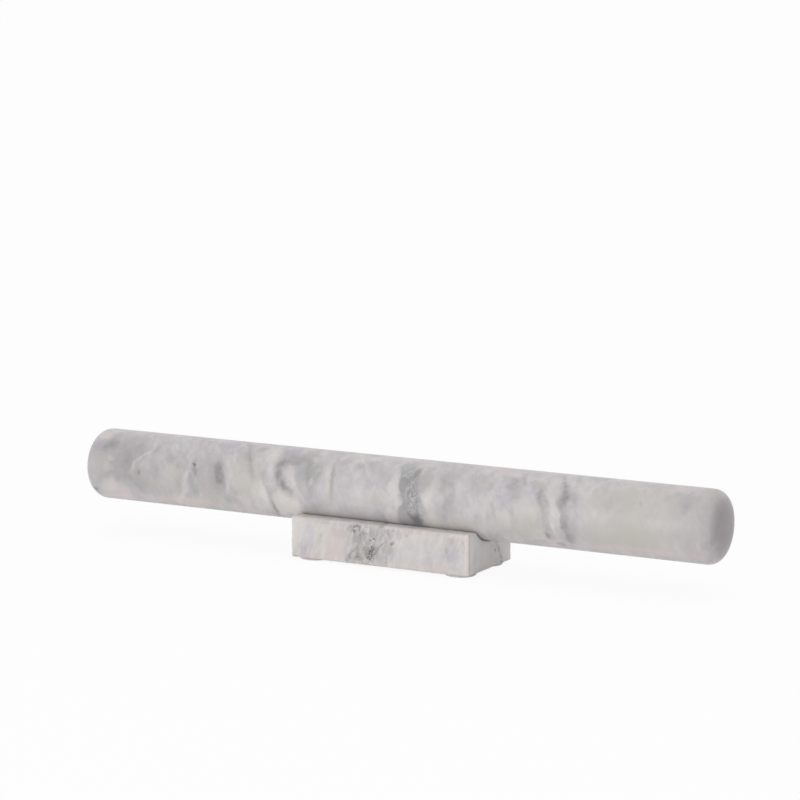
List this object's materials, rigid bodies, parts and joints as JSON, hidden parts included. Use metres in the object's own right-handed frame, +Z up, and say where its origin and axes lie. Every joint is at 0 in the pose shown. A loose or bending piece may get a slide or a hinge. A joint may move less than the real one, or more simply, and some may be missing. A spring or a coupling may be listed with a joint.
{
  "type": "rolling pin",
  "caption": "Solid marble rolling pin without handles, resting in the round groove of a low marble cradle that stands on clear stick-on feet.",
  "frame": {"origin": "under the middle of the rolling pin, on the surface that the feet stand on", "axes": "+X along the rolling pin, to its right end as the picture shows it; +Y to the back of the cradle; +Z up"},
  "size_m": [0.46, 0.0598, 0.0674],
  "materials": {
    "pin_marble": "honed, white with grey clouds and veins",
    "cradle_marble": "honed, warm white with fine dark veins",
    "clear_foot": "satin, translucent",
    "adhesive_film": "matt, translucent"
  },
  "bodies": {
    "cradle": {"cradle_block": "cradle_marble", "foot_front_left": "clear_foot", "foot_front_right": "clear_foot", "foot_rear_left": "clear_foot", "foot_rear_right": "clear_foot", "foot_adhesive_front_left": "adhesive_film", "foot_adhesive_front_right": "adhesive_film", "foot_adhesive_rear_left": "adhesive_film", "foot_adhesive_rear_right": "adhesive_film"},
    "pin": {"rolling_pin": "pin_marble"}
  },
  "joints": [
    {"name": "pin_lift", "type": "slide", "parent": "cradle", "child": "pin", "axis": [0, 0, 1], "range_m": [0, 0.12]}
  ]
}
